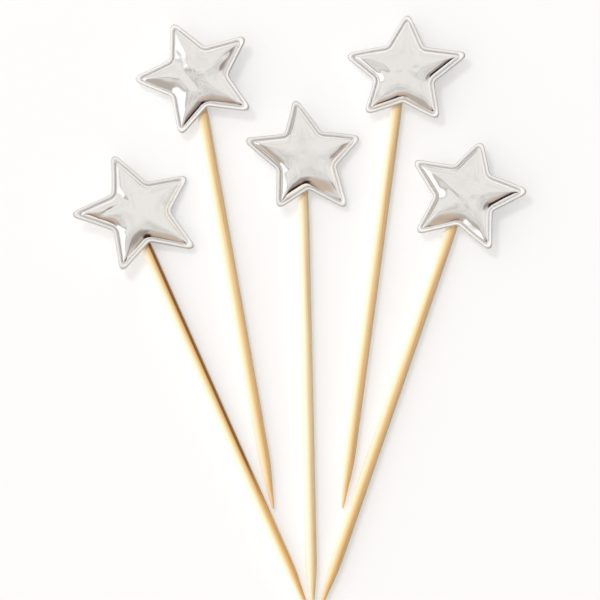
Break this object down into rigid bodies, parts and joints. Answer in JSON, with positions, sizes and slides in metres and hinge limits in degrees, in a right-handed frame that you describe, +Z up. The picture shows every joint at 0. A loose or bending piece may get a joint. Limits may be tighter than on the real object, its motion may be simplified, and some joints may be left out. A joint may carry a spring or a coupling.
{
  "type": "cake topper",
  "caption": "Set of silver padded foil stars glued on pointed bamboo skewers, laid in a fan, to push into a cake as decoration.",
  "frame": {"origin": "on the table that the set lies on, under the middle of the whole set's box", "axes": "+Z up from the table, the way the stars face; +Y from the skewer points towards the stars; +X to the right"},
  "size_m": [0.1132, 0.1534, 0.0077],
  "materials": {
    "silver_foil": "polished",
    "white_foam": "matte",
    "felt_backing": "matte",
    "hot_melt_glue": "satin",
    "bamboo": "satin"
  },
  "bodies": {
    "centre_topper": {"centre_skewer": "bamboo", "centre_glue_bead": "hot_melt_glue", "centre_backing": "felt_backing", "centre_foam_pad": "white_foam", "centre_foil_cover": "silver_foil"},
    "left_topper": {"left_skewer": "bamboo", "left_glue_bead": "hot_melt_glue", "left_backing": "felt_backing", "left_foam_pad": "white_foam", "left_foil_cover": "silver_foil"},
    "upper_left_topper": {"upper_left_skewer": "bamboo", "upper_left_glue_bead": "hot_melt_glue", "upper_left_backing": "felt_backing", "upper_left_foam_pad": "white_foam", "upper_left_foil_cover": "silver_foil"},
    "upper_right_topper": {"upper_right_skewer": "bamboo", "upper_right_glue_bead": "hot_melt_glue", "upper_right_backing": "felt_backing", "upper_right_foam_pad": "white_foam", "upper_right_foil_cover": "silver_foil"},
    "right_topper": {"right_skewer": "bamboo", "right_glue_bead": "hot_melt_glue", "right_backing": "felt_backing", "right_foam_pad": "white_foam", "right_foil_cover": "silver_foil"}
  },
  "joints": [
    {"name": "lift_left", "type": "slide", "parent": "centre_topper", "child": "left_topper", "axis": [0, 0, 1], "range_m": [0, 0.05]},
    {"name": "lift_upper_left", "type": "slide", "parent": "centre_topper", "child": "upper_left_topper", "axis": [0, 0, 1], "range_m": [0, 0.05]},
    {"name": "lift_upper_right", "type": "slide", "parent": "centre_topper", "child": "upper_right_topper", "axis": [0, 0, 1], "range_m": [0, 0.05]},
    {"name": "lift_right", "type": "slide", "parent": "centre_topper", "child": "right_topper", "axis": [0, 0, 1], "range_m": [0, 0.05]}
  ]
}
